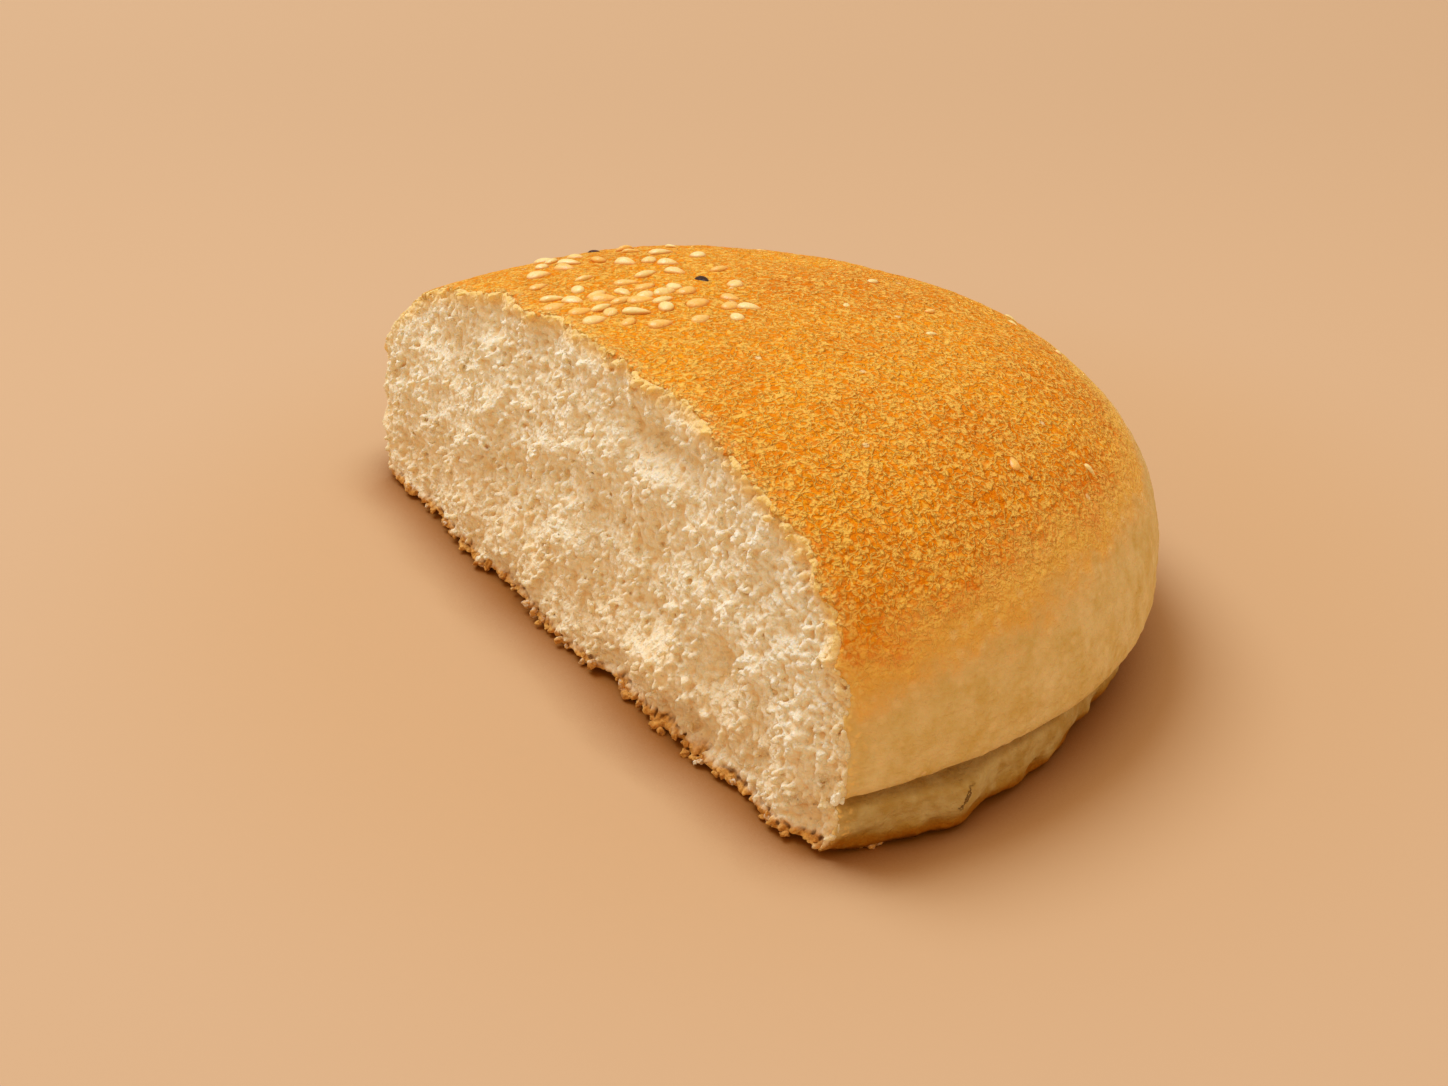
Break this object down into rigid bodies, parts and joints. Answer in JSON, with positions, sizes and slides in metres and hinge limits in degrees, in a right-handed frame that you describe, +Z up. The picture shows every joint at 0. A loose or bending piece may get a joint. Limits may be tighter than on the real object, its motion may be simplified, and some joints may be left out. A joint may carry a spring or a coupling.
{
  "type": "torn half of a round pita bread",
  "caption": "Thick, soft round pita bread torn to a little over half, with a domed golden crust, an open crumb face and sesame seeds on top.",
  "frame": {"origin": "middle of the bounding box at the level of the base, on the surface that the bread lies on", "axes": "+Z up from the browned base to the crown, +X along the torn face, -Y out of the torn face"},
  "size_m": [0.12, 0.078, 0.041],
  "materials": {
    "crust": "matte baked crust, golden-orange on top and pale cream at the skirt",
    "crumb": "soft open crumb, warm cream, browned at the base",
    "sesame": "smooth hulled seed with a faint sheen, cream to golden",
    "dark_seed": "smooth dark seed with a faint sheen"
  },
  "bodies": {
    "root": {"bread": "crust"}
  },
  "joints": []
}
